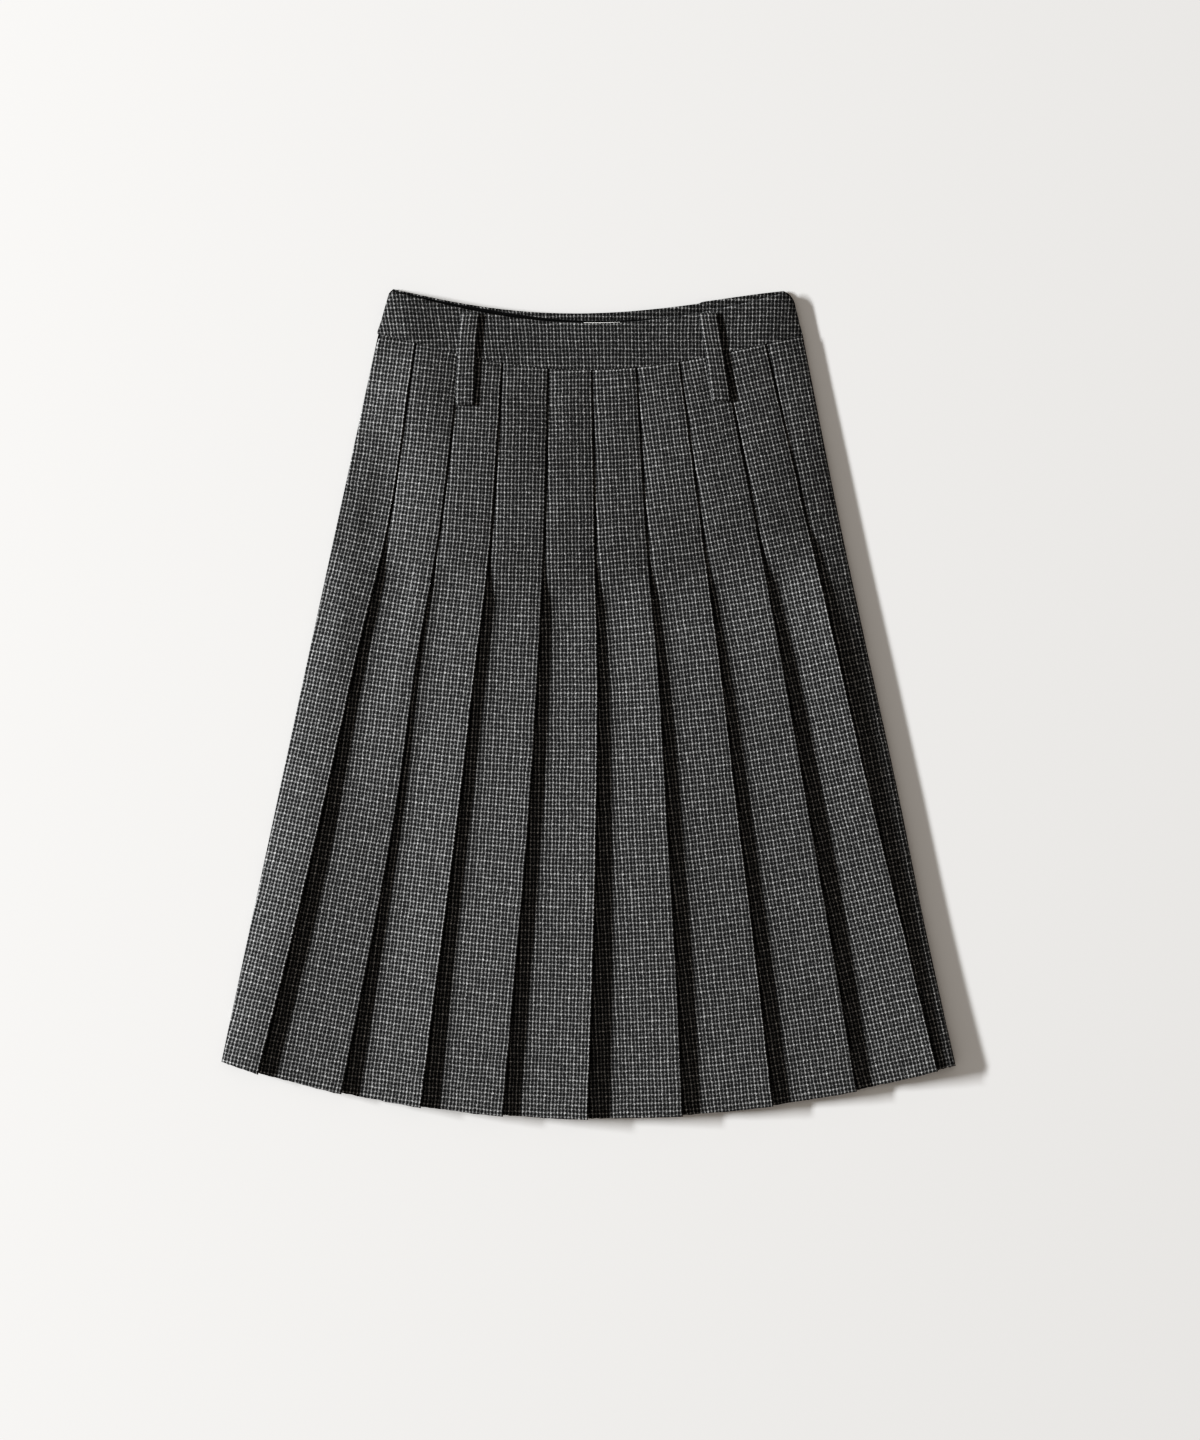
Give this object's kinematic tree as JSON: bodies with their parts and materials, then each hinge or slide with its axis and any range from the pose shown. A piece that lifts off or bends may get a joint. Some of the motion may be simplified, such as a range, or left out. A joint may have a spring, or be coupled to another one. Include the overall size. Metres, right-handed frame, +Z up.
{
  "type": "pleated midi skirt",
  "caption": "Pleated midi skirt laid flat: plain waistband, long belt loops, knife pleats stitched down over the hips and free to the curved hem.",
  "frame": {"origin": "on the surface that the skirt lies on, below the centre of its bounding box", "axes": "+Y from the hem to the waist, +Z up out of the surface through the front of the skirt, +X to the right as seen from above"},
  "size_m": [0.6604, 0.7459, 0.0135],
  "materials": {
    "pleated_cloth": "charcoal and off-white wool check, matt",
    "waistband_cloth": "the same wool check, darker face",
    "belt_loop_cloth": "the same wool check",
    "label_weave": "bare off-white woven tape"
  },
  "bodies": {
    "root": {"front_panel": "pleated_cloth", "back_panel": "pleated_cloth", "waistband_front": "waistband_cloth", "waistband_back": "waistband_cloth", "belt_loop_left": "belt_loop_cloth", "belt_loop_right": "belt_loop_cloth", "waist_label": "label_weave"}
  },
  "joints": []
}
